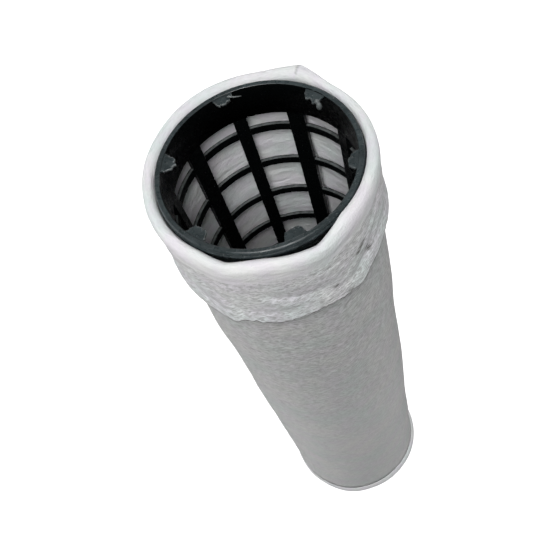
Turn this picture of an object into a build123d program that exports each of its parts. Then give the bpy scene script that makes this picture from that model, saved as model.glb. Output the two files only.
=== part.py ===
"""Dust collector filter element: a needle-felt bag standing over a moulded plastic support cage.

Millimetres, +Z up. The origin is the centre of the bag's flat underside and the mouth faces +Z.
The bag is the standing body. The cage drops into its open mouth and draws straight out along +Z.
"""
import os
from math import radians, sin

from build123d import *

# Cage: a tube of upright ribs and hoops between a collar and an end pan
CAGE_RADIUS = 60.0          # outside of the ribs and of the collar's bead
CAGE_HEIGHT = 517.0         # underside of the pan to the top of the collar
WALL_DEPTH = 4.0            # radial depth of the ribs, the collar and the pan's skirt
RIB_COUNT = 10
NARROW_RIB = 8.6
WIDE_RIB = 10.9             # every second rib is a broad one
FIRST_RIB_ANGLE = 91.6      # degrees, a narrow rib
RIB_EDGE = 0.6              # rounding of a rib's long edges

COLLAR_HEIGHT = 25.0
COLLAR_RECESS = 0.8         # the collar's wall stands back this far under its bead
BEAD_HEIGHT = 5.0
BEAD_ROUND = 1.3            # rounding of the collar's top edges

HOOP_COUNT = 14
HOOP_HEIGHT = 6.3
HOOP_DEPTH = 2.8            # the hoops are flush with the ribs outside and set back from them inside
HOOP_EDGE = 0.5
FIRST_WINDOW = 12.0         # clear height between the collar and the first hoop
LAST_WINDOW = 11.0          # clear height between the last hoop and the pan

TAB_COUNT = 6
TAB_ANGLE = 36.5            # degrees, centre of the first tab
TAB_WIDTH = 11.4
TAB_REACH = 5.2             # how far a tab stands in from the collar's bore
TAB_THICKNESS = 2.0
TAB_DROP = 1.4              # top of a tab below the top of the collar
TAB_CORNER = 2.2

PAN_SKIRT = 16.0
PAN_FLOOR = 2.6
PAN_WEB_COUNT = 5
PAN_WEB_THICKNESS = 2.0
PAN_WEB_HEIGHT = 6.0
PAN_HUB_RADIUS = 9.0

# Bag: needle felt, one sleeve turned down over itself at the mouth, with a cupped end
FELT = 2.2
BAG_SLACK = 2.2             # radial gap from the ribs to the sleeve
SEAT_GAP = 0.4              # pan's underside above the felt that it stands on
RIM_DROP = 3.0              # top of the felt rim below the top of the collar
RIM_LEG = 4.0               # straight part of the rim below its roll, before the two layers part
CUFF_DEPTH = 60.0           # top of the rim to the cuff's raw lower edge
LAYER_GAP = 0.2             # between the sleeve and the turned-down cuff
END_CORNER = 7.0            # outside corner radius of the end cup
END_SKIRT = 7.0             # upright part of the end cup above its corner, up to the sleeve's seam

# Levels and radii that follow from those sizes
cage_bottom = FELT + SEAT_GAP
cage_top = cage_bottom + CAGE_HEIGHT
cage_bore = CAGE_RADIUS - WALL_DEPTH
collar_bottom = cage_top - COLLAR_HEIGHT
pan_top = cage_bottom + PAN_SKIRT
rib_length = collar_bottom - pan_top
hoop_bore = CAGE_RADIUS - HOOP_DEPTH
hoop_pitch = (rib_length - FIRST_WINDOW - LAST_WINDOW - HOOP_HEIGHT) / (HOOP_COUNT - 1)
first_hoop_bottom = collar_bottom - FIRST_WINDOW - HOOP_HEIGHT

sleeve_inside = CAGE_RADIUS + BAG_SLACK
sleeve_outside = sleeve_inside + FELT
cuff_inside = sleeve_outside + LAYER_GAP
cuff_outside = cuff_inside + FELT
rim_top = cage_top - RIM_DROP
rim_round = (cuff_outside - sleeve_inside) / 2
rim_foot = rim_top - rim_round - RIM_LEG
cuff_bottom = rim_top - CUFF_DEPTH
end_inner_corner = END_CORNER - FELT
end_top = END_CORNER + END_SKIRT
pan_corner = end_inner_corner - SEAT_GAP


def turned(outline):
    """A full turn about Z of a closed outline drawn in the XZ plane."""
    return revolve(make_face(outline), Axis.Z, 360)


def straight_outline(points):
    """A closed outline through (radius, height) points."""
    return Polyline(*[(r, 0, z) for r, z in points], close=True)


def tube(inside, outside, bottom, top):
    """A plain upright tube."""
    height = top - bottom
    outer = Cylinder(outside, height, align=(Align.CENTER, Align.CENTER, Align.MIN))
    inner = Cylinder(inside, height, align=(Align.CENTER, Align.CENTER, Align.MIN))
    return Pos(0, 0, bottom) * (outer - inner)


def radial_bar(width, reach, bottom, top):
    """A bar of the given width from the axis out along +X."""
    bar = Box(reach, width, top - bottom, align=(Align.MIN, Align.CENTER, Align.MIN))
    return Pos(0, 0, bottom) * bar


def rib(width):
    """One upright rib along +X, notched on its outer side where each hoop passes."""
    wall = tube(cage_bore, CAGE_RADIUS, pan_top, collar_bottom)
    body = radial_bar(width, CAGE_RADIUS + WALL_DEPTH, pan_top, collar_bottom) & wall
    body = fillet(body.edges().filter_by(Axis.Z), RIB_EDGE)
    for index in range(HOOP_COUNT):
        bottom = hoop_level(index)
        body -= tube(hoop_bore, CAGE_RADIUS + WALL_DEPTH, bottom, bottom + HOOP_HEIGHT)
    return body


def hoop_level(index):
    """Height of the underside of a hoop, counted down from the collar."""
    return first_hoop_bottom - index * hoop_pitch


def hoop(index):
    """One hoop, with its inner edges rounded."""
    bottom = hoop_level(index)
    ring = tube(hoop_bore, CAGE_RADIUS, bottom, bottom + HOOP_HEIGHT)
    circles = ring.edges().filter_by(GeomType.CIRCLE)
    return fillet(circles.filter_by(lambda edge: edge.radius < CAGE_RADIUS - HOOP_EDGE), HOOP_EDGE)


def collar():
    """The solid band at the mouth, with a rounded bead that stands proud of its wall."""
    wall = CAGE_RADIUS - COLLAR_RECESS
    bead_bottom = cage_top - BEAD_HEIGHT
    band = turned(straight_outline([
        (cage_bore, collar_bottom), (wall, collar_bottom), (wall, bead_bottom - COLLAR_RECESS),
        (CAGE_RADIUS, bead_bottom), (CAGE_RADIUS, cage_top), (cage_bore, cage_top),
    ]))
    top_edges = band.edges().group_by(Axis.Z)[-1]
    return fillet(top_edges, BEAD_ROUND)


def tab(index):
    """One flat tab standing in from the collar's wall near its top edge."""
    top = cage_top - TAB_DROP
    tip = cage_bore - TAB_REACH
    blank = radial_bar(TAB_WIDTH, CAGE_RADIUS, top - TAB_THICKNESS, top)
    bore = Cylinder(cage_bore, cage_top, align=(Align.CENTER, Align.CENTER, Align.MIN))
    blank -= radial_bar(TAB_WIDTH, tip, top - TAB_THICKNESS, top)
    body = blank & bore
    tip_edges = body.edges().filter_by(Axis.Z).sort_by(Axis.X)[:2]
    body = fillet(tip_edges, TAB_CORNER)
    return Rot(0, 0, TAB_ANGLE + index * 360 / TAB_COUNT) * body


def pan():
    """The closed end of the cage: a round-cornered dish with a star of low webs round a hub."""
    dish = turned(straight_outline([
        (0, cage_bottom), (CAGE_RADIUS, cage_bottom), (CAGE_RADIUS, pan_top), (0, pan_top)]))
    dish = fillet(dish.edges().group_by(Axis.Z)[0], pan_corner)
    floor_top = cage_bottom + PAN_FLOOR
    hollow = Cylinder(cage_bore, PAN_SKIRT, align=(Align.CENTER, Align.CENTER, Align.MIN))
    hollow = fillet(hollow.edges().group_by(Axis.Z)[0], pan_corner - PAN_FLOOR)
    web_top = floor_top + PAN_WEB_HEIGHT
    hub = Cylinder(PAN_HUB_RADIUS, web_top - cage_bottom, align=(Align.CENTER, Align.CENTER, Align.MIN))
    star = Pos(0, 0, cage_bottom) * hub
    web = radial_bar(PAN_WEB_THICKNESS, CAGE_RADIUS - WALL_DEPTH / 2, cage_bottom, web_top)
    for index in range(PAN_WEB_COUNT):
        star += Rot(0, 0, FIRST_RIB_ANGLE + index * 360 / PAN_WEB_COUNT) * web
    return (dish - Pos(0, 0, floor_top) * hollow) + (star & dish)


def sleeve():
    """The bag's upright wall, from the end cup's seam to the foot of the rolled rim."""
    return tube(sleeve_inside, sleeve_outside, end_top, rim_foot)


def cuff():
    """The mouth of the sleeve rolled outwards and turned down over itself."""
    shoulder = rim_top - rim_round
    crown = (sleeve_inside + rim_round, 0, rim_top)
    sides = Polyline(
        (sleeve_inside, 0, shoulder), (sleeve_inside, 0, rim_foot), (cuff_inside, 0, rim_foot),
        (cuff_inside, 0, cuff_bottom), (cuff_outside, 0, cuff_bottom), (cuff_outside, 0, shoulder),
    )
    roll = ThreePointArc((cuff_outside, 0, shoulder), crown, (sleeve_inside, 0, shoulder))
    return turned(sides + roll)


def end_cup():
    """The bag's closed end: a felt disc with its edge turned up to meet the sleeve."""
    slope = sin(radians(45))
    centre = sleeve_outside - END_CORNER
    outer_middle = (centre + END_CORNER * slope, 0, END_CORNER * (1 - slope))
    inner_middle = (centre + end_inner_corner * slope, 0, END_CORNER - end_inner_corner * slope)
    outside = ThreePointArc((centre, 0, 0), outer_middle, (sleeve_outside, 0, END_CORNER))
    inside = ThreePointArc((sleeve_inside, 0, END_CORNER), inner_middle, (centre, 0, FELT))
    skirt = Polyline(
        (sleeve_outside, 0, END_CORNER), (sleeve_outside, 0, end_top),
        (sleeve_inside, 0, end_top), (sleeve_inside, 0, END_CORNER),
    )
    floor = Polyline((centre, 0, FELT), (0, 0, FELT), (0, 0, 0), (centre, 0, 0))
    return turned(outside + skirt + inside + floor)


def write(shape, node):
    export_step(shape, f"parts/{node}.step")


def main():
    os.makedirs("parts", exist_ok=True)
    write(sleeve(), "bag_sleeve")
    write(cuff(), "bag_cuff")
    write(end_cup(), "bag_end_cup")
    write(collar(), "cage_collar")
    write(pan(), "cage_end_pan")
    ribs = [rib(NARROW_RIB), rib(WIDE_RIB)]
    for index in range(RIB_COUNT):
        angle = FIRST_RIB_ANGLE + index * 360 / RIB_COUNT
        write(Rot(0, 0, angle) * ribs[index % 2], f"cage_rib_{index + 1:02d}")
    for index in range(HOOP_COUNT):
        write(hoop(index), f"cage_hoop_{index + 1:02d}")
    for index in range(TAB_COUNT):
        write(tab(index), f"collar_tab_{index + 1}")


main()
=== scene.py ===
"""A dust collector's filter element: a needle-felt bag turned down at its mouth over a moulded cage.

Everything is in metres in the part's own frame. +Z runs up the bag's axis to its mouth, and the origin
is the centre of the bag's flat underside. Angles go from +X towards +Y, in degrees.
"""
from math import acos, atan2, cos, degrees, exp, hypot, pi, radians, sin, sqrt, tau

import bmesh
import bpy
from mathutils import Matrix, Vector, noise


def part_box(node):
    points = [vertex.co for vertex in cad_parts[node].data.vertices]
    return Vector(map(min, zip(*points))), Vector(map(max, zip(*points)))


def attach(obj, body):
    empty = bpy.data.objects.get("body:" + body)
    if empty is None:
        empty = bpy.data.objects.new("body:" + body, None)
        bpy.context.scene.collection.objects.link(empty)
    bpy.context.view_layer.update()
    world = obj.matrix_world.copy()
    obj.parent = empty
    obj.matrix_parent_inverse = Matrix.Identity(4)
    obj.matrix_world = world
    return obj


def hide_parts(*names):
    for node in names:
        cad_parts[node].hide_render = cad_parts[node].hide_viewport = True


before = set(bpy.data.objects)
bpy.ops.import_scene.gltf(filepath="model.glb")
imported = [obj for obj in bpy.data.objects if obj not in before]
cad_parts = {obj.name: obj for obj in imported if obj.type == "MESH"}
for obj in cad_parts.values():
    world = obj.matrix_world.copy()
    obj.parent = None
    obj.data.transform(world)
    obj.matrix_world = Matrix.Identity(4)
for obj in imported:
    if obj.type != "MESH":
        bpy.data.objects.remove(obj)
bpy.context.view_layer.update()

bl_info = {
    "name": "Dust filter element",
    "version": (1, 0, 0),
    "blender": (4, 5, 0),
    "location": "View3D > Sidebar > Filter",
    "description": "Needle-felt dust bag with a turned-down cuff over a moulded support cage",
    "category": "Object",
}

MM = 0.001
HOOPS = sorted(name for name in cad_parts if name.startswith("cage_hoop_"))
RIBS = sorted(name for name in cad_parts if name.startswith("cage_rib_"))
TABS = sorted(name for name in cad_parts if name.startswith("collar_tab_"))

# Levels and radii of the frame that the new pieces fit
COLLAR_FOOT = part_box("cage_collar")[0].z
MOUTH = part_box("cage_collar")[1].z
CAGE_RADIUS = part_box("cage_collar")[1].x
WALL_DEPTH = 4.0 * MM
HOOP_DEPTH = 2.8 * MM
CAGE_BORE = CAGE_RADIUS - WALL_DEPTH
HOOP_BORE = CAGE_RADIUS - HOOP_DEPTH
SLEEVE_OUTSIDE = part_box("bag_sleeve")[1].x
CUFF_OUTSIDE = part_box("bag_cuff")[1].x
END_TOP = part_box("bag_end_cup")[1].z
HALF_FELT = 1.1  # millimetres from the felt's middle to either face

SEAM_ANGLE = 53.0  # the bag's side seam


# Shaping helpers


def turn_between(angle, centre):
    """Degrees from centre to angle, from -180 to 180."""
    return (angle - centre + 180) % 360 - 180


def hump(angle, centre, width):
    """A smooth rise round one angle."""
    return exp(-((turn_between(angle, centre) / width) ** 2))


def tent(angle, centre, before, after):
    """A rise with straight sides and a slightly blunted top, as where felt was once folded flat."""
    away = turn_between(angle, centre)
    reach = before if away < 0 else after
    height = max(0.0, 1 - hypot(away, 0.7) / reach)
    return height


def eased(value):
    """0 to 1 with a level start and end."""
    value = min(1.0, max(0.0, value))
    return value * value * (3 - 2 * value)


def along(knots, x):
    """A smooth line through (x, y) knots."""
    for (x0, y0), (x1, y1) in zip(knots, knots[1:]):
        if x <= x1:
            return y0 + (y1 - y0) * eased((x - x0) / (x1 - x0))
    return knots[-1][1]


def round_the_bag(knots, angle):
    """A smooth line through (angle, y) knots that closes on itself."""
    first = knots[0]
    angle = (angle - first[0]) % 360 + first[0]
    return along(list(knots) + [(first[0] + 360, first[1])], angle)


def rough(x, y, z, size):
    """Smooth noise of about -1 to 1 whose lumps are size across."""
    return noise.noise(Vector((x, y, z)) / size)


def polar(radius, angle, height):
    return Vector((radius * cos(radians(angle)), radius * sin(radians(angle)), height))


def finished(name, mesh_maker, body, materials, replaced):
    """Makes a piece from a bmesh, with outward normals and smooth faces, that rides on a body."""
    bm = mesh_maker()
    mesh = bpy.data.meshes.new(name)
    bm.to_mesh(mesh)
    bm.free()
    for material in materials:
        mesh.materials.append(material)
    mesh.shade_smooth()
    piece = bpy.data.objects.new(name, mesh)
    bpy.context.scene.collection.objects.link(piece)
    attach(piece, body)
    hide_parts(*replaced)
    return piece


def spun(points, steps, closed=True):
    """An outline of (radius, height) points turned once round the axis; closed joins its two ends."""
    bm = bmesh.new()
    verts = [bm.verts.new((radius, 0, height)) for radius, height in points]
    following = verts[1:] + verts[:1] if closed else verts[1:]
    edges = [bm.edges.new(pair) for pair in zip(verts, following)]
    bmesh.ops.spin(
        bm, geom=verts + edges, cent=(0, 0, 0), axis=(0, 0, 1), angle=tau, steps=steps, use_merge=True)
    if closed:
        bmesh.ops.recalc_face_normals(bm, faces=bm.faces)
    return bm


def arc(centre, radius, start, end, count):
    """Points of a round stretch of an outline."""
    turns = [radians(start + (end - start) * i / count) for i in range(count + 1)]
    return [(centre[0] + radius * cos(t), centre[1] + radius * sin(t)) for t in turns]


# The felt sheet: one cut of cloth, rolled into a tube and turned down over itself at the mouth.
# Heights here are depths in millimetres below the top of the cage's collar.

SHEET_COLUMNS = 288
SHEET_ROWS = 152
SLEEVE_SHARE = 0.870  # share of the sheet's length taken by the sleeve
ROLL_SHARE = 0.898  # the same by the sleeve and the roll
ROLL_INSIDE = 3.4  # height of the roll's inner side
ROLL_OUTSIDE = 5.0  # height of its outer side, down to its widest
ROLL_CLEARANCE = 0.3  # between the collar and the roll
ROLL_EASE = 13.0  # further height in which it comes back to the hanging cuff
# Share of the sheet's rows used up at each length along it: close rows at the roll and the cuff
ROW_PACE = ((0.0, 0.0), (0.24, 0.62), (0.40, 0.865), (0.50, 0.900), (0.84, 0.976), (1.0, 1.0))
CUT_EDGE_SHADOW = 0.8  # painted shadow: a dark line along the felt's raw lower edge, standing in for the shadow under the cuff's lip
ROLL_CUT = 9.0  # length of the sheet that the roll adds to the sleeve's height
CUFF_CUT = 54.0  # and the cuff
SEAM_SOIL = 0.28  # dirt along the side seam where it crosses the roll
LIP_HEIGHT = 11.0  # the cuff's lower edge flares out over this height
LIP_FLARE = 1.7
NAP_SHADE_ON_ROLL = 0.15  # how raised the fibres are, which sets the strength of the painted shade in their valleys: the roll is pressed smooth, the sleeve's outside is singed
NAP_SHADE_ON_SLEEVE = 0.85
RIM_DEPTH = (
    (-180, 1.6), (-160, 2.0), (-140, 1.6), (-106, 1.2), (-58, -1.6), (-30, -1.4),
    (0, 0.2), (30, 0.4), (53, -0.8), (75, 0.0), (110, -0.2), (150, 0.8),
)
# How far the roll swells outside the cuff below it
ROLL_SWELL = (
    (-180, 1.0), (-150, 0.8), (-120, 1.2), (-90, 1.5), (-60, 1.5), (-30, 0.8),
    (0, 0.2), (30, -0.5), (53, 1.0), (75, 1.2), (110, 2.0), (150, 1.6),
)
END_CORNER = 7.0  # outside corner of the closed end
CUFF_DEPTH = (
    (-180, 55), (-153, 58), (-142, 62), (-131, 70), (-121, 63.5), (-103, 64.2), (-82, 60.8), (-70, 62.5),
    (-59, 63.6), (-49, 57.5), (-36, 53), (-10, 51), (30, 55), (60, 58), (100, 57), (150, 56),
)
# Creases in the cuff: start angle and depth, end angle and depth, how deep, how wide, and sag of the line
CREASES = (
    (-114, 33, -72, 46, 1.6, 3.0, 3.0),
    (-146, 24, -122, 60, 1.2, 2.8, 0.5),
    (-138, 18, -117, 58, 0.8, 2.4, 0.0),
    (-62, 52, -38, 32, 1.3, 2.8, 1.5),
    (-52, 26, -30, 14, 0.7, 3.0, 1.0),
    (20, 22, 70, 34, 0.9, 4.0, 3.0),
    (95, 40, 140, 24, 1.0, 4.0, 3.0),
    (170, 20, 205, 44, 0.9, 3.6, 2.0),
)
# Marks on the felt: angle, depth, half-width in degrees, half-height in millimetres, strength
MARKS = (
    (-58.0, 34, 2.0, 1.4, 1.0), (-55.6, 32, 2.0, 1.3, 1.0), (-53.4, 30, 1.8, 1.2, 0.9),
    (-54.0, 38, 1.8, 1.0, 0.6), (-50.6, 41, 1.9, 1.5, 1.0), (-49.0, 45, 1.8, 1.3, 0.9),
    (-73.6, 49, 1.4, 0.9, 1.0), (-68.0, 60.5, 2.0, 1.2, 0.8),
    (24, 1.2, 4.0, 1.2, 0.6), (35, 1.4, 2.4, 1.0, 0.75), (29, 2.2, 2.0, 1.0, 0.9), (31, 4.6, 1.6, 1.6, 0.7),
    (14, 2.0, 3.0, 1.0, 0.45), (40, 0.6, 2.0, 0.8, 0.6),
    (-102, 442, 1.3, 1.4, 0.9), (150, 200, 1.4, 0.8, 0.5), (95, 330, 1.0, 1.4, 0.5),
)
# How far the closed end spreads over the surface it stands on
FOOT_SWELL = (
    (-180, 1.2), (-140, 1.6), (-100, 2.7), (-60, 3.4), (-20, 3.3), (20, 2.4), (60, 1.6), (120, 1.2),
)
FOOT_FLARE = 32.0  # the sleeve starts to spread at this height
FOOT_LEVEL = 5.5  # height at which it is widest


def crease_depth(angle, depth, radius):
    """How far the creases in the cuff pull the felt in, in millimetres."""
    pull = 0.0
    for start, top, end, bottom, deep, wide, sag in CREASES:
        middle = (start + end) / 2
        across = radians(turn_between(angle, middle)) * radius
        half = radians(end - start) / 2 * radius
        share = across / half
        line = (top + bottom) / 2 + (bottom - top) / 2 * share + sag * (1 - share * share)
        off = (depth - line) / wide
        ends = eased(1.6 - abs(share) * 1.25)
        groove = exp(-off * off) if off > 0 else exp(-((off / 2.5) ** 2))
        pull += ends * deep * (groove - 0.25 * exp(-(((off - 2.6) / 1.3) ** 2)))
    return pull


def rim_depth(angle):
    """Depth of the top of the rolled rim below the top of the collar."""
    folds = 4.4 * tent(angle, -122.8, 14, 20) + 6.6 * tent(angle, -76.3, 34, 17)
    return round_the_bag(RIM_DEPTH, angle) + folds


def rim_lean(angle):
    """How far the rim stands off the collar where old folds hold it out, in millimetres."""
    folds = 0.8 * tent(angle, -122.8, 16, 18) + 1.7 * tent(angle, -76.3, 26, 18)
    return folds + 2.2 * tent(angle, SEAM_ANGLE, 20, 18)


def corner_radius(angle, radius, peak):
    """The radius of a round section with straight sides that meet in a corner over the side seam."""
    half = acos(radius / peak)
    away = abs(radians(turn_between(angle, SEAM_ANGLE)))
    if away >= half:
        return radius
    return radius / cos(half - hypot(away, 0.02))


def sleeve_radius(angle, depth):
    """Middle of the felt's thickness on the sleeve, in millimetres."""
    radius = SLEEVE_OUTSIDE / MM - HALF_FELT
    spot = polar(radius, angle, -depth)
    radius += 0.5 * rough(*spot, 38) + 0.35 * rough(spot.x, spot.y, spot.z, 24)
    end = eased((MOUTH / MM - depth - 6) / 30)
    fin = 2.6 * hump(angle, SEAM_ANGLE, 2.4) * eased((depth - 62) / 12) * end
    flare = eased((FOOT_FLARE - MOUTH / MM + depth) / (FOOT_FLARE - END_TOP / MM))
    radius += 0.3 * round_the_bag(FOOT_SWELL, angle) * flare
    below = eased((depth - 60) / 60)
    radius += below * (0.9 + 1.1 * rough(spot.x, spot.y, spot.z * 0.7, 52))
    return radius + fin


def cuff_radius(angle, depth):
    """Middle of the felt's thickness on the turned-down cuff, in millimetres."""
    radius = CUFF_OUTSIDE / MM - HALF_FELT
    peak = radius + 6.0 * exp(-max(0.0, depth - 8) / 60)
    radius = corner_radius(angle, radius, peak)
    spot = polar(radius, angle, -depth)
    radius += 0.5 * eased(depth / 40) * (1 + rough(*spot, 34))
    ripple = rough(spot.x * 0.5, spot.y * 0.5, spot.z * 1.8 + angle * 0.12, 9)
    radius += eased((depth - 6) / 14) * 0.22 * ripple
    radius -= eased((depth - 8) / 8) * crease_depth(angle, depth, radius)
    return radius


def sheet_point(angle, share):
    """A point of the felt sheet, by its angle and its share of the sheet's length from the bottom edge."""
    crest = rim_depth(angle)
    lean = rim_lean(angle)
    rim_inside = CAGE_RADIUS / MM + ROLL_CLEARANCE + HALF_FELT + lean
    widest = crest + ROLL_OUTSIDE
    rim_outside = cuff_radius(angle, widest) + round_the_bag(ROLL_SWELL, angle)
    roll_reach = (rim_outside - rim_inside) / 2
    foot = (MOUTH - END_TOP) / MM
    if share < SLEEVE_SHARE:
        top = crest + ROLL_INSIDE
        depth = foot + (top - foot) * share / SLEEVE_SHARE
        radius = sleeve_radius(angle, depth)
        closing = eased(1 - (depth - top) / 9)
        radius += (rim_inside - radius) * closing
    elif share < ROLL_SHARE:
        turn = (share - SLEEVE_SHARE) / (ROLL_SHARE - SLEEVE_SHARE) * pi
        height = ROLL_INSIDE if turn < pi / 2 else ROLL_OUTSIDE
        radius = rim_inside + roll_reach * (1 - cos(turn))
        depth = crest + height * (1 - sin(turn))
    else:
        start = widest
        edge = round_the_bag(CUFF_DEPTH, angle)
        ragged = 1.5 * rough(angle, 3, 7, 2.6) + 1.2 * rough(angle, 9, 1, 1.3)
        notches = 2.6 * hump(angle, -67, 1.3) + 2.4 * hump(angle, -117, 1.6) + 1.8 * hump(angle, 140, 1.4)
        along_cuff = (share - ROLL_SHARE) / (1 - ROLL_SHARE)
        depth = start + (edge - start) * along_cuff
        radius = cuff_radius(angle, depth)
        radius += (rim_outside - cuff_radius(angle, widest)) * (1 - eased((depth - start) / ROLL_EASE))
        lip = eased(1 - (edge - depth) / LIP_HEIGHT)
        radius += LIP_FLARE * lip - 0.45 * exp(-(((edge - depth - LIP_HEIGHT) / 3.5) ** 2))
        depth += (ragged - notches) * eased((along_cuff - 0.94) / 0.06)
    return polar(radius * MM, angle, MOUTH - depth * MM), depth


def felt_sheet():
    """The sheet with its smudges and the painted shadow along its raw edge, as a grid of cloth laid onto the
    tube, roll and cuff.
    """
    bm = bmesh.new()
    bmesh.ops.create_grid(bm, x_segments=SHEET_COLUMNS, y_segments=SHEET_ROWS, size=0.5)
    cloth = bm.loops.layers.uv.new("cloth")
    marks = bm.verts.layers.float.new("marks")
    nap = bm.verts.layers.float.new("nap")
    width = tau * SLEEVE_OUTSIDE
    flat = {}
    for vert in bm.verts:
        across = vert.co.x + 0.5
        share = along_pace(vert.co.y + 0.5)
        angle = SEAM_ANGLE + 360 * across
        place, depth = sheet_point(angle, share)
        flat[vert] = (across * width, share * sheet_length())
        outside = share > ROLL_SHARE or depth > 70
        vert[marks] = mark_strength(angle, depth) if outside else 0.0
        # Painted shadow: the raw lower edge of the cuff is darkened as if shaded by its lip
        vert[marks] = max(vert[marks], CUT_EDGE_SHADOW * eased((share - 0.9975) / 0.0025))
        if 0.876 < share < 0.91 and vert.is_boundary:
            vert[marks] = max(vert[marks], SEAM_SOIL)
        # Strength of the painted shade in the fibre valleys
        vert[nap] = nap_shade_strength(share, depth)
        vert.co = place
    for face in bm.faces:
        for loop in face.loops:
            loop[cloth].uv = flat[loop.vert]
    bmesh.ops.remove_doubles(bm, verts=[v for v in bm.verts if v.is_boundary], dist=0.02 * MM)
    bm.faces.index_update()
    face_outwards(bm, 0.2)
    return bm


def nap_shade_strength(share, depth):
    """0 to 1, how raised the felt's fibres are, which sets the strength of the painted shade in their
    valleys.
    """
    if share < SLEEVE_SHARE:
        return NAP_SHADE_ON_SLEEVE * (1 - 0.6 * eased((depth - 90) / 260))
    return NAP_SHADE_ON_ROLL + (1 - NAP_SHADE_ON_ROLL) * eased((share - 0.903) / 0.018)


def along_pace(row):
    """Share of the sheet's length at a row."""
    for (x0, y0), (x1, y1) in zip(ROW_PACE, ROW_PACE[1:]):
        if row <= x1:
            return y0 + (y1 - y0) * (row - x0) / (x1 - x0)
    return 1.0


def sheet_length():
    """The cut's length: up the sleeve, over the roll and down the cuff."""
    return MOUTH - END_TOP + (ROLL_CUT + CUFF_CUT) * MM


def mark_strength(angle, depth):
    """0 to 1, how soiled the felt is by its few smudges."""
    strength = 0.0
    for centre, level, wide, high, strong in MARKS:
        offset = turn_between(angle, centre) / wide
        drop = (depth - level) / high
        spread = exp(-(offset * offset + drop * drop))
        strength = max(strength, strong * spread)
    return strength


def felt_end():
    """The closed end: a disc of felt with a round corner, sewn edge to edge with the sleeve."""
    wall = SLEEVE_OUTSIDE / MM - HALF_FELT
    corner = END_CORNER - HALF_FELT
    seam = END_TOP / MM
    low = HALF_FELT
    points = [(0.0, low), (20, low), (38, low)]
    points += arc((wall - corner, low + corner), corner, -90, 0, 12)
    points += [(wall, seam - below) for below in (6.0, 4.6, 3.2, 2.0, 1.1, 0.5, 0.0)]
    bm = spun(points, SHEET_COLUMNS, closed=False)
    bmesh.ops.remove_doubles(bm, verts=bm.verts, dist=0.01)
    cloth = bm.loops.layers.uv.new("cloth")
    nap = bm.verts.layers.float.new("nap")
    for vert in bm.verts:
        vert[nap] = 0.35
        angle = degrees(atan2(vert.co.y, vert.co.x))
        radius = hypot(vert.co.x, vert.co.y)
        rise = eased((vert.co.z - low) / corner)
        fuller = sleeve_radius(angle, MOUTH / MM - vert.co.z) - wall
        climb = max(0.0, vert.co.z - FOOT_LEVEL) / (seam - FOOT_LEVEL)
        fuller += 0.8 * round_the_bag(FOOT_SWELL, angle) * sqrt(max(0.0, 1 - climb * climb))
        if radius > 1:
            vert.co.xy *= (radius + fuller * rise) / radius
    for vert in bm.verts:
        vert.co *= MM
    for face in bm.faces:
        for loop in face.loops:
            spot = loop.vert.co
            reach = hypot(spot.x, spot.y) + max(0, spot.z - low * MM)
            turn = atan2(spot.y, spot.x)
            loop[cloth].uv = (0.1 + reach * cos(turn), 0.1 + reach * sin(turn))
    bm.faces.index_update()
    face_outwards(bm, 8 * MM)
    return bm


# The cage


def collar_ring():
    """The collar: a plain wall under a rounded bead, with a fine step and a parting line outside."""
    wall = CAGE_RADIUS - 0.8 * MM
    top = MOUTH
    outline = [(CAGE_BORE, COLLAR_FOOT), (wall, COLLAR_FOOT), (wall, top - 5.8 * MM)]
    outline += [(CAGE_RADIUS - 0.15 * MM, top - 5.3 * MM)]
    outline += arc((CAGE_RADIUS - 1.3 * MM, top - 3.9 * MM), 1.3 * MM, -20, 62, 6)
    outline += arc((CAGE_RADIUS - 2.1 * MM, top - 1.75 * MM), 1.75 * MM, -8, 84, 9)
    outline += [(CAGE_RADIUS - 2.5 * MM, top - 0.2 * MM), (CAGE_RADIUS - 2.9 * MM, top - 0.3 * MM)]
    outline += arc((CAGE_BORE + 0.8 * MM, top - 1.1 * MM), 0.8 * MM, 95, 180, 4)
    bm = spun(outline, 240)
    for vert in bm.verts:
        angle = degrees(atan2(vert.co.y, vert.co.x))
        spot = vert.co / MM
        waver = 0.12 * rough(spot.x, spot.y, 0, 22) + 0.05 * rough(spot.x, spot.y, spot.z, 4)
        outside = hypot(spot.x, spot.y) > CAGE_RADIUS / MM - 1.2
        # The far parting line is low because the felt lies close against the collar there
        parting = 0.35 * hump(angle, -87, 0.5) + 0.1 * hump(angle, 93, 0.5)
        waver += outside * parting * (spot.z < MOUTH / MM - 1.5)
        vert.co.xy *= 1 + waver / (CAGE_RADIUS / MM)
    # The bore and the underside take the darker lattice finish: painted shade inside the cage
    for face in bm.faces:
        middle = face.calc_center_median()
        in_bore = hypot(middle.x, middle.y) < CAGE_BORE + 0.3 * MM or middle.z < COLLAR_FOOT + 0.3 * MM
        face.material_index = int(in_bore)
    return bm


def hoop_ring(low, high):
    """One hoop, with a fine lip along its outer top edge where the mould's halves met."""
    edge = 0.6 * MM
    lip = CAGE_RADIUS - 0.75 * MM
    step = high - 0.7 * MM
    outline = [(HOOP_BORE + edge, low), (CAGE_RADIUS, low), (CAGE_RADIUS, step), (lip, step)]
    outline += [(lip, high - 0.1 * MM), (lip - 0.3 * MM, high)]
    outline += arc((HOOP_BORE + edge, high - edge), edge, 90, 180, 3)
    outline += arc((HOOP_BORE + edge, low + edge), edge, 180, 270, 3)[:-1]
    bm = spun(outline, 180)
    # Painted light: the top face is marked to take the pale dust colour, standing in for the light it catches
    # from above
    dust = bm.verts.layers.float.new("dust")
    for vert in bm.verts:
        vert[dust] = 0.5 * (vert.co.z > high - 0.12 * MM)
    return bm


TAB_JAGS = {-84: 0.15, -23: 0.5, 37: 0.6, 97: 0.9, 156: 1.3, 217: 1.0}  # how ragged each tab is torn
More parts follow.
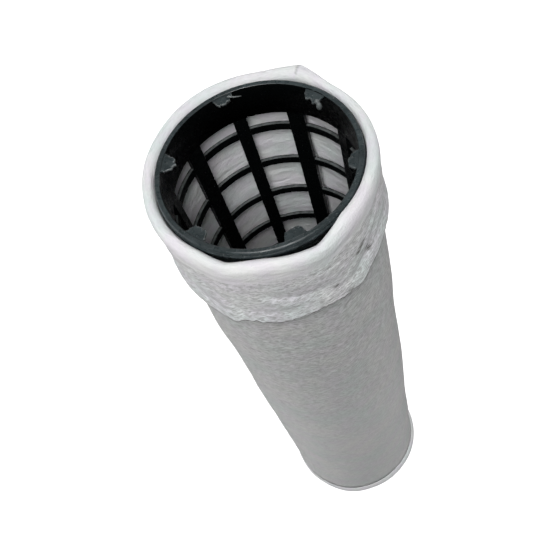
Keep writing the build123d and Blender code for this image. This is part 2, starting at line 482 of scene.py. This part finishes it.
# Each tab's tip: share of the width from its lower angle to its higher, and reach in millimetres
TAB_TIPS = {
    -84: ((0, 3.6), (0.12, 5.8), (0.5, 6.4), (0.88, 6.2), (1, 4.2)),
    -23: ((0, 2.6), (0.15, 5.0), (0.45, 5.4), (0.8, 4.2), (1, 2.2)),
    37: ((0, 5.2), (0.2, 7.0), (0.45, 4.6), (0.75, 5.6), (1, 3.0)),
    97: ((0, 2.0), (0.25, 4.2), (0.55, 5.8), (0.85, 5.4), (1, 2.8)),
    156: ((0, 3.0), (0.2, 6.6), (0.5, 7.4), (0.8, 6.8), (1, 3.0)),
    217: ((0, 4.2), (0.2, 6.0), (0.5, 6.6), (0.8, 6.2), (1, 2.0)),
}


def torn_tab(centre, tip, jag):
    """A flat tab whose tip was torn off, ragged and stress-whitened."""
    bm = bmesh.new()
    bmesh.ops.create_grid(bm, x_segments=44, y_segments=22, size=0.5)
    torn = bm.verts.layers.float.new("torn")
    for vert in bm.verts:
        side = vert.co.x + 0.5
        inward = vert.co.y + 0.5
        angle = centre + (side - 0.5) * 11.6 * (1 + 0.22 * (1 - inward) ** 2)
        reach = along(tip, side)
        reach += jag * (1.5 * rough(side * 6, centre, 1, 1) + 0.8 * rough(side * 15, centre, 5, 1)) * inward
        angle += jag * 1.2 * rough(inward * 5, centre, side > 0.5, 1) * abs(side - 0.5) * 2 * inward
        radius = CAGE_BORE / MM + 1.2 - (reach + 1.2) * inward
        border = max(inward, abs(side - 0.5) * 2 * eased(inward * 1.6))
        droop = 0.5 * inward * inward + 0.45 * rough(radius, angle, centre, 2.2) * inward
        vert[torn] = eased((border - 0.94) / 0.06) * min(0.9, 0.1 + 0.6 * jag)
        vert.co = polar(radius * MM, angle, MOUTH - (0.75 + droop) * MM)
    border = [edge for edge in bm.edges if edge.is_boundary]
    made = bmesh.ops.extrude_edge_only(bm, edges=border)
    lower = [item for item in made["geom"] if isinstance(item, bmesh.types.BMVert)]
    bmesh.ops.translate(bm, verts=lower, vec=(0, 0, -1.9 * MM))
    rim = [edge for edge in bm.edges if edge.is_boundary]
    bmesh.ops.contextual_create(bm, geom=rim)
    bmesh.ops.triangulate(bm, faces=[face for face in bm.faces if len(face.verts) > 4])
    bmesh.ops.recalc_face_normals(bm, faces=bm.faces)
    return bm


LUMP_SEED = 7  # noise_vector is the one draw here that follows Blender's seed, which starts from the clock


def add_lump(bm, angle, radius, depth, size, stretch):
    """A smooth blob of plastic pulled out while it was soft, hanging from a tab."""
    noise.seed_set(LUMP_SEED)
    torn = bm.verts.layers.float["torn"]
    made = bmesh.ops.create_uvsphere(bm, u_segments=20, v_segments=14, radius=size * MM)
    for vert in made["verts"]:
        vert[torn] = 0.55
        vert.co.z *= stretch
        uneven = 0.25 * MM * noise.noise_vector(vert.co / (2 * MM))
        vert.co += polar(radius * MM, angle, MOUTH - depth * MM) + uneven


def add_strand(bm, points, thickness):
    """A thin whitened strand of torn plastic through the given points."""
    torn = bm.verts.layers.float["torn"]
    places = [polar(radius * MM, angle, MOUTH - depth * MM) for angle, radius, depth in points]
    for index, (start, end) in enumerate(zip(places, places[1:])):
        axis = end - start
        matrix = Matrix.Translation((start + end) / 2) @ axis.to_track_quat("Z", "Y").to_matrix().to_4x4()
        size = thickness * MM * (1 - index / len(places))
        made = bmesh.ops.create_cone(
            bm, cap_ends=True, segments=10, radius1=size, radius2=size * 0.75,
            depth=axis.length * 1.15, matrix=matrix)
        for vert in made["verts"]:
            vert[torn] = 1.0


# Materials


def add_node(tree, kind, inputs=(), **settings):
    """A shader node with its settings and its inputs, each a value or another node's output."""
    node = tree.nodes.new(kind)
    for key, value in settings.items():
        setattr(node, key, value)
    for key, value in dict(inputs).items():
        if isinstance(value, bpy.types.NodeSocket):
            tree.links.new(value, node.inputs[key])
        else:
            node.inputs[key].default_value = value
    return node


def math_node(tree, operation, a, b=0.5, clamp=False):
    return add_node(tree, "ShaderNodeMath", {0: a, 1: b}, operation=operation, use_clamp=clamp).outputs[0]


def span(tree, value, low, high, to_low=0.0, to_high=1.0):
    """value spread from low..high to to_low..to_high, smoothly and clamped."""
    inputs = {"Value": value, "From Min": low, "From Max": high, "To Min": to_low, "To Max": to_high}
    return add_node(tree, "ShaderNodeMapRange", inputs, interpolation_type="SMOOTHSTEP").outputs["Result"]


def scaled(tree, value, factor):
    return math_node(tree, "MULTIPLY", value, factor)


def vector_node(tree, operation, inputs):
    return add_node(tree, "ShaderNodeVectorMath", inputs, operation=operation).outputs[0]


def blended(tree, share, a, b):
    """Colour a with a share of colour b over it."""
    return add_node(tree, "ShaderNodeMix", {"Factor": share, 6: a, 7: b}, data_type="RGBA").outputs[2]


def noise_node(tree, vector, scale, detail, **more):
    """The value of a noise texture."""
    inputs = {"Vector": vector, "Scale": scale, "Detail": detail, **more}
    return add_node(tree, "ShaderNodeTexNoise", inputs).outputs["Fac"]


def new_group(name, inputs, outputs):
    """An empty shader node group; returns it with its input and output nodes."""
    group = bpy.data.node_groups.new(name, "ShaderNodeTree")
    for label, kind, value in inputs:
        socket = group.interface.new_socket(label, in_out="INPUT", socket_type=kind)
        if value is not None:
            socket.default_value = value
    for label, kind in outputs:
        group.interface.new_socket(label, in_out="OUTPUT", socket_type=kind)
    return group, group.nodes.new("NodeGroupInput"), group.nodes.new("NodeGroupOutput")


def fibre_group():
    """Needled fibres: fine streaks that lie mostly one way, matted tufts and needle pricks."""
    group, source, result = new_group(
        "Needled fibres",
        [("Vector", "NodeSocketVector", None), ("Fineness", "NodeSocketFloat", 1.0)],
        [("Height", "NodeSocketFloat"), ("Streaks", "NodeSocketFloat"), ("Tufts", "NodeSocketFloat")],
    )
    spot = vector_node(group, "SCALE", {0: source.outputs["Vector"], "Scale": source.outputs["Fineness"]})
    bend = add_node(group, "ShaderNodeTexNoise", {"Vector": spot, "Scale": 90, "Detail": 2}).outputs["Color"]
    shift = vector_node(group, "SUBTRACT", {0: bend, 1: (0.5, 0.5, 0.5)})
    shift = vector_node(group, "SCALE", {0: shift, "Scale": 0.0045})
    moved = vector_node(group, "ADD", {0: spot, 1: shift})
    layers = []
    # Each layer's direction in degrees, how long its fibres are for their width, fineness and share
    for turn, squeeze, scale, share in (
        (6, 3.8, 190, 0.45), (-9, 3.6, 300, 0.3), (32, 3.4, 230, 0.15), (-36, 3.4, 280, 0.1),
    ):
        laid = {"Vector": moved, "Rotation": (0, 0, radians(turn)), "Scale": (1, squeeze, 1)}
        mapping = add_node(group, "ShaderNodeMapping", laid)
        layers.append(scaled(group, noise_node(group, mapping.outputs[0], scale, 2.5, Roughness=0.5), share))
    long_way = math_node(group, "ADD", layers[0], layers[1])
    cross_way = math_node(group, "ADD", layers[2], layers[3])
    streaks = math_node(group, "ADD", long_way, cross_way)
    tufts = noise_node(group, moved, 150, 5, Roughness=0.6)
    pricks = add_node(group, "ShaderNodeTexVoronoi", {"Vector": moved, "Scale": 620}).outputs["Distance"]
    pricks = span(group, pricks, 0.05, 0.45)
    height = math_node(group, "ADD", scaled(group, streaks, 0.62), scaled(group, tufts, 0.28))
    height = math_node(group, "ADD", height, scaled(group, pricks, 0.10))
    group.links.new(height, result.inputs["Height"])
    group.links.new(streaks, result.inputs["Streaks"])
    group.links.new(tufts, result.inputs["Tufts"])
    return group


def mottle_group():
    """Broad, faint clouds in a surface's tone."""
    group, source, result = new_group(
        "Mottling",
        [("Vector", "NodeSocketVector", None), ("Size", "NodeSocketFloat", 0.03)],
        [("Clouds", "NodeSocketFloat"), ("Patches", "NodeSocketFloat")],
    )
    spot = source.outputs["Vector"]
    scale = math_node(group, "DIVIDE", 1.0, source.outputs["Size"])
    clouds = noise_node(group, spot, scale, 4)
    patches = noise_node(group, spot, scaled(group, scale, 2.7), 3)
    group.links.new(span(group, clouds, 0.35, 0.65), result.inputs["Clouds"])
    group.links.new(span(group, patches, 0.38, 0.66), result.inputs["Patches"])
    return group


def scuff_group():
    """Fine scratches and dust specks."""
    group, source, result = new_group(
        "Scuffs and dust",
        [("Vector", "NodeSocketVector", None)],
        [("Scratches", "NodeSocketFloat"), ("Specks", "NodeSocketFloat"), ("Grain", "NodeSocketFloat")],
    )
    spot = source.outputs["Vector"]
    drawn_out = {"Vector": spot, "Rotation": (0.4, 0.7, 0.5), "Scale": (1, 9, 3)}
    turned = add_node(group, "ShaderNodeMapping", drawn_out).outputs[0]
    lines = noise_node(group, turned, 180, 3)
    dots = noise_node(group, spot, 900, 2)
    grain = noise_node(group, spot, 1500, 3)
    group.links.new(span(group, lines, 0.60, 0.72), result.inputs["Scratches"])
    group.links.new(span(group, dots, 0.66, 0.74), result.inputs["Specks"])
    group.links.new(grain, result.inputs["Grain"])
    return group


def shader_group(tree, name, inputs):
    """The outputs of a shared node group put into a material."""
    return add_node(tree, "ShaderNodeGroup", inputs, node_tree=bpy.data.node_groups[name]).outputs


def new_material(name):
    """A material with its Principled shader, and its node tree."""
    material = bpy.data.materials.new(name)
    material.use_nodes = True
    tree = material.node_tree
    return material, tree, tree.nodes["Principled BSDF"]


def felt_material(settings, name, inner):
    """White needle felt: streaked fibres with painted shade in their valleys and over thin tufts, soft clouds
    in its tone, a few smudges, a painted shadow along the raw lower edge and a fuzzy sheen.

    The outer face has caught fine dust. The inner face is clean. Where it lies on the cage it is pressed
    smooth and carries little painted fibre shade; where the cuff turns it out it is raised and carries more.
    """
    material, tree, shader = new_material(name)
    cloth = add_node(tree, "ShaderNodeUVMap", uv_map="cloth").outputs[0]
    fineness = 1.45 if inner else 1.15
    fibres = shader_group(tree, "Needled fibres", {"Vector": cloth, "Fineness": fineness})
    mottle = shader_group(tree, "Mottling", {"Vector": cloth, "Size": 0.045})
    clean = tuple(settings.felt_colour) if inner else tuple(settings.dusty_colour)
    plain = clean + (1,)
    cool = tuple(c * k for c, k in zip(clean, (0.84, 0.93, 0.925))) + (1,)
    lilac = tuple(c * k for c, k in zip(clean, (0.95, 0.90, 0.99))) + (1,)
    tone = blended(tree, scaled(tree, mottle["Clouds"], 0.85), plain, cool)
    tone = blended(tree, scaled(tree, mottle["Patches"], 0.7), tone, lilac)
    nap = add_node(tree, "ShaderNodeAttribute", attribute_name="nap").outputs["Fac"]
    if inner:
        nap = span(tree, nap, NAP_SHADE_ON_SLEEVE, 1.0, 0.12, 1.0)
    # Painted shade: the valleys between the fibre streaks, and the thin tufts, are darkened towards a shaded
    # copy of the felt's colour, more where the nap is raised
    valley_shade = span(tree, fibres["Streaks"], 0.41, 0.56, 1.0, 0.0)
    shade = tuple(c * 0.38 for c in clean) + (1,)
    tone = blended(tree, scaled(tree, valley_shade, scaled(tree, nap, 0.8)), tone, shade)
    thin_tuft_shade = span(tree, fibres["Tufts"], 0.36, 0.62, 1.0, 0.0)
    tone = blended(tree, scaled(tree, thin_tuft_shade, scaled(tree, nap, 0.3)), tone, shade)
    # Smudges, the seam line and the painted shadow along the raw lower edge, all in the soil colour
    marks = add_node(tree, "ShaderNodeAttribute", attribute_name="marks").outputs["Fac"]
    broken = scaled(tree, marks, span(tree, fibres["Streaks"], 0.38, 0.56, 2.0, 1.0))
    soil_and_edge_shadow = math_node(tree, "MULTIPLY", broken, 0.95, True)
    tone = blended(tree, soil_and_edge_shadow, tone, tuple(settings.soil_and_shadow_colour) + (1,))
    tree.links.new(tone, shader.inputs["Base Color"])
    slanted = {"Vector": cloth, "Rotation": (0, 0, 0.7), "Scale": (1, 2.2, 1)}
    soft = add_node(tree, "ShaderNodeMapping", slanted).outputs[0]
    wrinkles = noise_node(tree, soft, 55, 2, Distortion=0.6)
    wrinkled = add_node(tree, "ShaderNodeBump", {"Strength": 0.4, "Distance": 4 * MM, "Height": wrinkles})
    surface = {"Distance": settings.fibre_height, "Height": fibres["Height"], "Normal": wrinkled.outputs[0]}
    bump = add_node(tree, "ShaderNodeBump", {"Strength": 0.75, **surface})
    tree.links.new(bump.outputs[0], shader.inputs["Normal"])
    shader.inputs["Roughness"].default_value = 0.95
    shader.inputs["Specular IOR Level"].default_value = 0.15
    shader.inputs["Sheen Weight"].default_value = 0.22
    shader.inputs["Sheen Roughness"].default_value = 0.55
    return material


def plastic_material(settings, name, lit_and_scuffed):
    """Black moulded plastic: fine grain, dust and scuffs, whitened where it tore; its pale colour also paints
    the light on the hoops' top faces. With the second argument at 0 it is a darker, less glossy, unscuffed
    copy that paints the shade on the lattice and the collar's bore inside the cage.
    """
    material, tree, shader = new_material(name)
    spot = add_node(tree, "ShaderNodeTexCoord").outputs["Object"]
    wear = shader_group(tree, "Scuffs and dust", {"Vector": spot})
    mottle = shader_group(tree, "Mottling", {"Vector": spot, "Size": 0.012})
    # Painted shade: the second argument at 0 darkens the plastic to 8% and dulls its gloss for the parts
    # inside the cage
    base = tuple(c * (0.08 + 0.92 * lit_and_scuffed) for c in settings.plastic_colour) + (1,)
    worn = tuple(min(1.0, c * 2.4 + 0.012 * lit_and_scuffed) for c in settings.plastic_colour) + (1,)
    tone = blended(tree, scaled(tree, mottle["Clouds"], 0.35 * lit_and_scuffed), base, worn)
    tone = blended(tree, scaled(tree, wear["Scratches"], 0.5 * lit_and_scuffed), tone, worn)
    dust = tuple(settings.torn_dust_and_top_light_colour) + (1,)
    tone = blended(tree, scaled(tree, wear["Specks"], 0.45 * lit_and_scuffed), tone, dust)
    # Painted light: the hoops' top faces are lightened as if lit from above
    lit_hoop_top = add_node(tree, "ShaderNodeAttribute", attribute_name="dust").outputs["Fac"]
    lit_hoop_top = scaled(tree, lit_hoop_top, span(tree, mottle["Patches"], 0.0, 1.0, 0.65, 1.0))
    tone = blended(tree, lit_hoop_top, tone, dust)
    torn = add_node(tree, "ShaderNodeAttribute", attribute_name="torn").outputs["Fac"]
    broken = scaled(tree, torn, span(tree, wear["Grain"], 0.3, 0.6, 0.5, 1.0))
    tone = blended(tree, broken, tone, dust)
    tree.links.new(tone, shader.inputs["Base Color"])
    matt = settings.plastic_roughness
    gloss = span(tree, mottle["Patches"], 0.0, 1.0, matt - 0.07, matt + 0.1)
    gloss = math_node(tree, "ADD", gloss, scaled(tree, wear["Scratches"], 0.15))
    tree.links.new(gloss, shader.inputs["Roughness"])
    height = math_node(tree, "SUBTRACT", wear["Grain"], scaled(tree, wear["Scratches"], 0.7 * lit_and_scuffed))
    bump = add_node(tree, "ShaderNodeBump", {"Strength": 0.35, "Distance": 0.00012, "Height": height})
    tree.links.new(bump.outputs[0], shader.inputs["Normal"])
    shader.inputs["Specular IOR Level"].default_value = 0.08 + 0.37 * lit_and_scuffed
    return material


# Settings that a user would change


class FeltBagSettings(bpy.types.PropertyGroup):
    felt_thickness: bpy.props.FloatProperty(
        name="Felt thickness", description="Thickness of the needle felt", default=2.2 * MM, unit="LENGTH")
    fibre_height: bpy.props.FloatProperty(
        name="Fibre height", description="How deep the felt's surface is", default=1.3 * MM, unit="LENGTH")
    felt_colour: bpy.props.FloatVectorProperty(
        name="Felt colour", description="Clean inner face of the felt",
        default=(0.82, 0.82, 0.815), subtype="COLOR", size=3)
    dusty_colour: bpy.props.FloatVectorProperty(
        name="Dusty colour", description="Outer face of the felt",
        default=(0.59, 0.59, 0.575), subtype="COLOR", size=3)
    # Also paints the shadow along the cuff's raw lower edge
    soil_and_shadow_colour: bpy.props.FloatVectorProperty(
        name="Soil colour", description="Smudges on the felt",
        default=(0.055, 0.052, 0.042), subtype="COLOR", size=3)


class CageSettings(bpy.types.PropertyGroup):
    plastic_colour: bpy.props.FloatVectorProperty(
        name="Plastic colour", description="Outside of the collar and the tabs",
        default=(0.021, 0.029, 0.031), subtype="COLOR", size=3)
    # Also paints the light on the hoops' top faces
    torn_dust_and_top_light_colour: bpy.props.FloatVectorProperty(
        name="Torn colour", description="Stress-whitened plastic and dust",
        default=(0.22, 0.24, 0.24), subtype="COLOR", size=3)
    plastic_roughness: bpy.props.FloatProperty(
        name="Plastic roughness", description="0 is a mirror, 1 is matt",
        default=0.33, min=0, max=1, subtype="FACTOR")


class StageSettings(bpy.types.PropertyGroup):
    floor_colour: bpy.props.FloatVectorProperty(
        name="Floor colour", description="Plain pale floor", default=(0.5, 0.5, 0.5), subtype="COLOR", size=3)
    floor_glow: bpy.props.FloatProperty(
        name="Floor glow", description="How much whiter the floor looks than it is lit", default=1.0, min=0)
    sky: bpy.props.FloatProperty(
        name="Surround", description="Light from the surround, which looks white at any strength",
        default=0.05)
    overhead: bpy.props.FloatProperty(
        name="Overhead", description="Power of the overhead softbox", default=4.0, unit="POWER")
    front: bpy.props.FloatProperty(
        name="Front", description="Power of the light on the camera's side", default=21.5, unit="POWER")
    fill: bpy.props.FloatProperty(
        name="Fill", description="Power of each light beside and behind", default=12.0, unit="POWER")


# Operators


def felt_finishes():
    """The felt's outer and inner face."""
    settings = bpy.context.scene.felt_bag
    return [
        bpy.data.materials.get(name) or felt_material(settings, name, inner)
        for name, inner in (("Felt outside", False), ("Felt inside", True))
    ]


def cage_finish(name, lit_and_scuffed):
    return bpy.data.materials.get(name) or plastic_material(bpy.context.scene.cage, name, lit_and_scuffed)


def face_outwards(bm, height):
    """Turns an open sheet's normals so that they point away from the axis at the given height."""
    bmesh.ops.recalc_face_normals(bm, faces=bm.faces)
    bm.normal_update()
    wall = min(bm.faces, key=lambda face: (abs(face.calc_center_median().z - height), face.index))
    middle = wall.calc_center_median()
    if middle.x * wall.normal.x + middle.y * wall.normal.y < 0:
        bmesh.ops.reverse_faces(bm, faces=bm.faces)


def give_thickness(piece, thickness):
    """Makes a single-layer sheet of cloth as thick as the felt, half to each side."""
    layer = piece.modifiers.new("Felt thickness", "SOLIDIFY")
    layer.thickness = thickness
    layer.offset = 0.0
    layer.use_rim = True
    layer.material_offset = 1
    layer.material_offset_rim = 1


class FILTER_OT_finishes(bpy.types.Operator):
    """Builds the node groups that the felt and the plastic share"""
    bl_idname = "filter.finishes"
    bl_label = "Shared finishes"

    def execute(self, context):
        fibre_group()
        mottle_group()
        scuff_group()
        return {"FINISHED"}


class FILTER_OT_sleeve(bpy.types.Operator):
    """Makes the felt sheet: sleeve, rolled rim and turned-down cuff"""
    bl_idname = "filter.sleeve"
    bl_label = "Felt sleeve and cuff"

    def execute(self, context):
        stands_for = ["bag_sleeve", "bag_cuff"]
        piece = finished("felt_sleeve", felt_sheet, "bag", felt_finishes(), stands_for)
        give_thickness(piece, context.scene.felt_bag.felt_thickness)
        return {"FINISHED"}


class FILTER_OT_end(bpy.types.Operator):
    """Makes the felt disc that closes the bag"""
    bl_idname = "filter.end"
    bl_label = "Felt end"

    def execute(self, context):
        piece = finished("felt_end", felt_end, "bag", felt_finishes()[1:] * 2, ["bag_end_cup"])
        give_thickness(piece, context.scene.felt_bag.felt_thickness)
        return {"FINISHED"}


class FILTER_OT_collar(bpy.types.Operator):
    """Makes the cage's collar with its bead"""
    bl_idname = "filter.collar"
    bl_label = "Collar"

    def execute(self, context):
        # The second finish is the darker copy: painted shade on the collar's bore
        finishes = [cage_finish("Collar plastic", 1.0), cage_finish("Lattice plastic", 0.0)]
        finished("collar", collar_ring, "cage", finishes, ["cage_collar"])
        return {"FINISHED"}


class FILTER_OT_tabs(bpy.types.Operator):
    """Makes the six torn tabs inside the collar"""
    bl_idname = "filter.tabs"
    bl_label = "Torn tabs"

    def execute(self, context):
        for name in TABS:
            low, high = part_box(name)
            middle = degrees(atan2(low.y + high.y, low.x + high.x))
            centre = min(TAB_TIPS, key=lambda angle: abs(turn_between(angle, middle)))
            tab = self.tab_mesh(centre, TAB_JAGS[centre])
            finished(
                f"tab_{TABS.index(name) + 1}", lambda: tab, "cage",
                [cage_finish("Collar plastic", 1.0)], [name])
        return {"FINISHED"}

    def tab_mesh(self, centre, jag):
        tab = torn_tab(centre, TAB_TIPS[centre], jag)
        if centre == 37:
            add_lump(tab, 29.5, 50.6, 3.4, 1.7, 1.7)
            add_lump(tab, 31.5, 51.2, 1.5, 1.5, 1.0)
        if centre == 97:
            add_strand(tab, [(93, 54.0, 0.8), (91.5, 52.6, 0.9), (88, 52.0, 1.6), (85.5, 52.4, 2.4)], 0.55)
            add_strand(tab, [(94, 53.6, 0.6), (93, 52.0, -0.5), (92, 51.0, -0.9)], 0.45)
        return tab


class FILTER_OT_hoops(bpy.types.Operator):
    """Makes the hoops that tie the ribs together"""
    bl_idname = "filter.hoops"
    bl_label = "Hoops"

    def execute(self, context):
        for name in HOOPS:
            low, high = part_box(name)
            finished(
                name.replace("cage_", ""), lambda: hoop_ring(low.z, high.z), "cage",
                [cage_finish("Lattice plastic", 0.0)], [name])
        return {"FINISHED"}


class FILTER_OT_ribs(bpy.types.Operator):
    """Finishes the ribs and the end pan, which keep their shapes"""
    bl_idname = "filter.ribs"
    bl_label = "Ribs and end pan"

    def execute(self, context):
        for name in RIBS + ["cage_end_pan"]:
            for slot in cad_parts[name].material_slots:
                # The darker copy of the plastic: painted shade inside the cage
                slot.material = cage_finish("Lattice plastic", 0.0)
        return {"FINISHED"}


FILL_AIM = (0, 0, 0.26)
FILL_LIGHTS = (
    ("Fill right", (1.7, 0.35, 0.45)), ("Fill back", (0.2, 1.8, 0.5)), ("Fill left", (-1.7, 0.5, 0.45)),
)


def area_light(name, place, aim, size, power):
    """A square softbox at place that points at aim."""
    data = bpy.data.lights.new(name, "AREA")
    data.size = size
    data.energy = power
    light = bpy.data.objects.new(name, data)
    light.location = place
    light.rotation_euler = (Vector(aim) - Vector(place)).to_track_quat("-Z", "Y").to_euler()
    bpy.context.scene.collection.objects.link(light)


class FILTER_OT_stage(bpy.types.Operator):
    """Makes the floor, the lights and the camera"""
    bl_idname = "filter.stage"
    bl_label = "Stage"

    def execute(self, context):
        settings = context.scene.stage
        self.floor(settings)
        world = bpy.data.worlds.new("Even surround")
        world.use_nodes = True
        tree = world.node_tree
        background = tree.nodes["Background"]
        background.inputs["Color"].default_value = (1, 1, 1, 1)
        seen = add_node(tree, "ShaderNodeLightPath").outputs["Is Camera Ray"]
        tree.links.new(span(tree, seen, 0.0, 1.0, settings.sky, 1.0), background.inputs["Strength"])
        context.scene.world = world
        context.scene.view_settings.view_transform = "Standard"
        area_light("Overhead", (0.1, 0.3, MOUTH + 1.6), (0, 0, MOUTH), 3.0, settings.overhead)
        area_light("Front", (-0.2, -0.72, MOUTH + 1.2), (0, 0, MOUTH - 0.1), 0.8, settings.front)
        for name, place in FILL_LIGHTS:
            area_light(name, place, FILL_AIM, 1.4, settings.fill)
        self.camera(context)
        return {"FINISHED"}

    def floor(self, settings):
        bm = bmesh.new()
        bmesh.ops.create_grid(bm, x_segments=1, y_segments=1, size=4)
        mesh = bpy.data.meshes.new("floor")
        bm.to_mesh(mesh)
        bm.free()
        material, tree, shader = new_material("Floor")
        shader.inputs["Base Color"].default_value = tuple(settings.floor_colour) + (1,)
        shader.inputs["Roughness"].default_value = 0.9
        shader.inputs["Specular IOR Level"].default_value = 0.1
        seen = add_node(tree, "ShaderNodeLightPath").outputs["Is Camera Ray"]
        shader.inputs["Emission Color"].default_value = (1, 1, 1, 1)
        glow = scaled(tree, seen, settings.floor_glow)
        tree.links.new(glow, shader.inputs["Emission Strength"])
        mesh.materials.append(material)
        floor = bpy.data.objects.new("floor", mesh)
        bpy.context.scene.collection.objects.link(floor)

    def camera(self, context):
        """The camera stands 59 degrees above the mouth, 6.7 cage radii away and rolled a little."""
        data = bpy.data.cameras.new("Camera")
        data.sensor_width = 36
        data.lens = 46.70
        camera = bpy.data.objects.new("Camera", data)
        right = Vector((0.94128, -0.27595, -0.19451))
        up = Vector((0.33649, 0.81368, 0.47402))
        back = Vector((0.02747, -0.51164, 0.85876))
        camera.matrix_world = Matrix((right, up, back)).transposed().to_4x4()
        camera.location = (0, -4.310 * CAGE_RADIUS, MOUTH + 5.131 * CAGE_RADIUS)
        context.scene.collection.objects.link(camera)
        context.scene.camera = camera


class FILTER_PT_panel(bpy.types.Panel):
    """Lists the filter element's pieces"""
    bl_idname = "FILTER_PT_panel"
    bl_label = "Dust filter element"
    bl_space_type = "VIEW_3D"
    bl_region_type = "UI"
    bl_category = "Filter"

    def draw(self, context):
        for operator in PIECE_ORDER:
            self.layout.operator(operator.bl_idname)
        for settings in (context.scene.felt_bag, context.scene.cage, context.scene.stage):
            for name in settings.__annotations__:
                self.layout.prop(settings, name)


PIECE_ORDER = (
    FILTER_OT_finishes, FILTER_OT_sleeve, FILTER_OT_end, FILTER_OT_collar,
    FILTER_OT_tabs, FILTER_OT_hoops, FILTER_OT_ribs, FILTER_OT_stage,
)
SETTINGS = {"felt_bag": FeltBagSettings, "cage": CageSettings, "stage": StageSettings}


def register():
    for cls in (*SETTINGS.values(), *PIECE_ORDER, FILTER_PT_panel):
        bpy.utils.register_class(cls)
    for name, cls in SETTINGS.items():
        setattr(bpy.types.Scene, name, bpy.props.PointerProperty(type=cls))


def unregister():
    for name in SETTINGS:
        delattr(bpy.types.Scene, name)
    for cls in (FILTER_PT_panel, *reversed(PIECE_ORDER), *SETTINGS.values()):
        bpy.utils.unregister_class(cls)


def main():
    register()
    for operator in PIECE_ORDER:
        getattr(bpy.ops.filter, operator.bl_idname.split(".")[1])()


if __name__ == "__main__":
    main()
